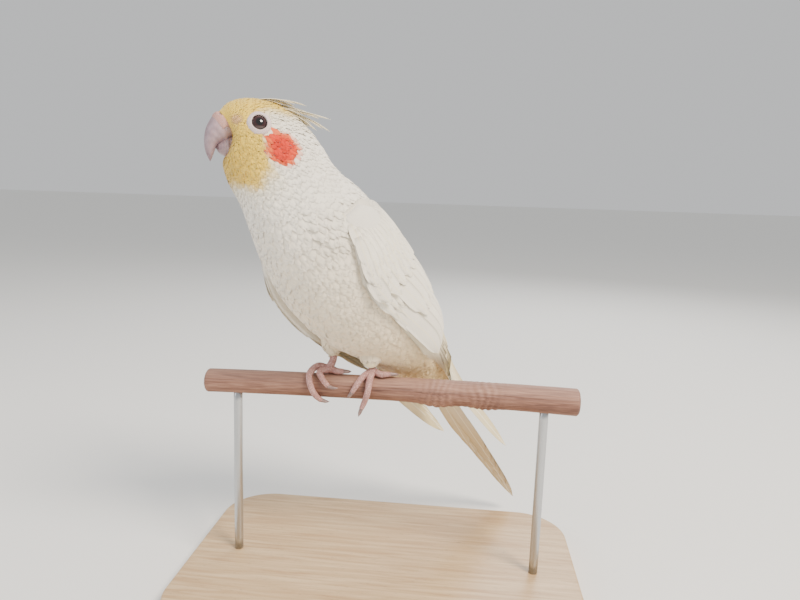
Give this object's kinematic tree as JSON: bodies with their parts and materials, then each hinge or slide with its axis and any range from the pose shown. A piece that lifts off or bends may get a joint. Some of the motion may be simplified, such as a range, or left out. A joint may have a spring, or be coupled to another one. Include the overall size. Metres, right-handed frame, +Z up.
{
  "type": "cockatiel",
  "caption": "Life-size still model of a pale cockatiel with yellow crest and orange cheek, gripping a cut length of branch on a plain display stand.",
  "frame": {"origin": "centre of the stand base's underside, where the model rests", "axes": "+Z up, +X along the branch, to the right as the bird is seen from its left and front; the bird looks towards -X and -Y"},
  "size_m": [0.196, 0.1472, 0.2336],
  "materials": {
    "plumage": "soft, overlapping cream feathers, yellow on face and crest with an orange-red cheek",
    "bill": "horn with a satin growth-lined surface",
    "bare_skin": "pink scaled skin of the feet, cere and eye ring",
    "eye": "wet, dark red-brown",
    "branch": "peeled natural stick, worn smooth, with a knot",
    "stand_wood": "sanded beech, satin varnish",
    "stand_steel": "satin rod"
  },
  "bodies": {
    "root": {"head": "plumage", "neck": "plumage", "torso": "plumage", "tail": "plumage", "wing_left": "plumage", "wing_right": "plumage", "thigh_left": "plumage", "thigh_right": "plumage", "bill_upper": "bill", "bill_lower": "bill", "claw_left_1": "bill", "claw_left_2": "bill", "claw_left_3": "bill", "claw_left_4": "bill", "claw_right_1": "bill", "claw_right_2": "bill", "claw_right_3": "bill", "claw_right_4": "bill", "eye_left": "eye", "eye_right": "eye", "foot_left": "bare_skin", "foot_right": "bare_skin", "branch": "branch", "stand_base": "stand_wood", "stand_rod_left": "stand_steel", "stand_rod_right": "stand_steel"}
  },
  "joints": []
}
